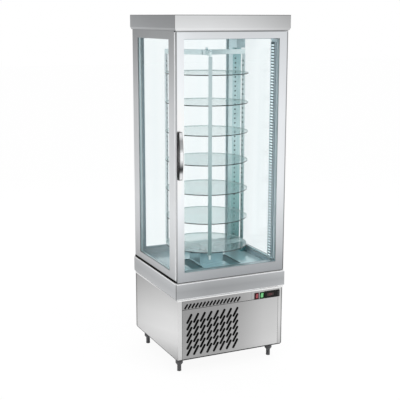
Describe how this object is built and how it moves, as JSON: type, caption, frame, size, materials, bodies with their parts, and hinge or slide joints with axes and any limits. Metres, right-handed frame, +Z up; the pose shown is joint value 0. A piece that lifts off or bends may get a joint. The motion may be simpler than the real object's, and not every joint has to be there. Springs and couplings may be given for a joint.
{
  "type": "revolving refrigerated display cabinet",
  "caption": "Tall refrigerated display cabinet with glazed sides and door, a turning stack of round glass shelves, a stainless base with grille and controls, and levelling feet.",
  "frame": {"origin": "centre of the whole part on the floor, under the middle of its bounding box", "axes": "+Z up, -Y towards the door side, +X to the right seen from the front"},
  "size_m": [0.67, 0.66, 1.93],
  "materials": {
    "stainless": "brushed",
    "dark_steel": "satin",
    "glass": "clear",
    "shelf_glass": "clear, green edge",
    "rubber": "matte",
    "foot_grey": "matte",
    "black_plastic": "satin",
    "insulation": "matte",
    "handle_chrome": "polished",
    "fins": "satin",
    "enamel": "gloss",
    "red_lens": "translucent",
    "green_lens": "translucent",
    "diffuser": "frosted",
    "key_grey": "matte"
  },
  "bodies": {
    "cabinet": {"foot_front_left": "foot_grey", "foot_front_right": "foot_grey", "foot_rear_left": "foot_grey", "foot_rear_right": "foot_grey", "base_pan": "dark_steel", "left_side_panel": "stainless", "right_side_panel": "stainless", "front_grille": "stainless", "control_fascia": "stainless", "rear_panel": "stainless", "power_inlet": "black_plastic", "power_switch_body": "black_plastic", "light_switch_body": "black_plastic", "controller_body": "black_plastic", "collar": "stainless", "tower_seal": "rubber", "top_cap": "stainless", "left_frame": "stainless", "left_glass": "glass", "right_frame": "stainless", "right_glass": "glass", "rear_frame": "stainless", "rear_glass": "glass", "front_frame": "stainless", "led_bar_left": "diffuser", "led_bar_right": "diffuser", "evaporator_tub": "insulation", "chamber_floor": "stainless", "air_duct": "dark_steel", "ceiling_panel": "stainless", "hinge_pivot_bottom": "dark_steel", "hinge_pivot_top": "dark_steel", "gear_motor": "enamel", "condenser_coil": "fins", "fan_shroud": "dark_steel", "compressor": "enamel", "evaporator_unit": "fins"},
    "door": {"door_frame": "stainless", "door_glass": "glass", "door_gasket": "rubber", "door_handle": "handle_chrome"},
    "carousel": {"drive_hub": "dark_steel", "top_spider": "dark_steel", "upright_1": "dark_steel", "upright_2": "dark_steel", "upright_3": "dark_steel", "shelf_1": "shelf_glass", "shelf_2": "shelf_glass", "shelf_3": "shelf_glass", "shelf_4": "shelf_glass", "shelf_5": "shelf_glass", "shelf_6": "shelf_glass", "shelf_7": "shelf_glass"},
    "condenser_fan_rotor": {"condenser_fan": "black_plastic"},
    "evaporator_fan_rotor": {"evaporator_fan": "black_plastic"},
    "light_switch": {"light_rocker": "green_lens"},
    "power_switch": {"power_rocker": "red_lens"},
    "down_key": {"key_down": "key_grey"},
    "set_key": {"key_set": "key_grey"},
    "up_key": {"key_up": "key_grey"}
  },
  "joints": [
    {"name": "door_hinge", "type": "hinge", "parent": "cabinet", "child": "door", "pos_m": [0.314, -0.29, 0.537], "axis": [0, 0, 1], "range_deg": [0, 110]},
    {"name": "carousel_spin", "type": "hinge", "parent": "cabinet", "child": "carousel", "pos_m": [0, 0.026, 0.6], "axis": [0, 0, 1], "continuous": true},
    {"name": "condenser_fan_spin", "type": "hinge", "parent": "cabinet", "child": "condenser_fan_rotor", "pos_m": [-0.115, -0.24, 0.2343], "axis": [0, 1, 0], "continuous": true},
    {"name": "evaporator_fan_spin", "type": "hinge", "parent": "cabinet", "child": "evaporator_fan_rotor", "pos_m": [-0.022, 0.194, 0.515], "axis": [0, 0, 1], "continuous": true},
    {"name": "light_rocker_tilt", "type": "hinge", "parent": "cabinet", "child": "light_switch", "pos_m": [0.1915, -0.3, 0.395], "axis": [-1, 0, 0], "range_deg": [0, 14]},
    {"name": "power_rocker_tilt", "type": "hinge", "parent": "cabinet", "child": "power_switch", "pos_m": [0.158, -0.3, 0.395], "axis": [-1, 0, 0], "range_deg": [0, 14]},
    {"name": "key_down_press", "type": "slide", "parent": "cabinet", "child": "down_key", "axis": [0, 1, 0], "range_m": [0, 0.0008], "stiffness_N_per_m": 800},
    {"name": "key_set_press", "type": "slide", "parent": "cabinet", "child": "set_key", "axis": [0, 1, 0], "range_m": [0, 0.0008], "stiffness_N_per_m": 800},
    {"name": "key_up_press", "type": "slide", "parent": "cabinet", "child": "up_key", "axis": [0, 1, 0], "range_m": [0, 0.0008], "stiffness_N_per_m": 800}
  ]
}
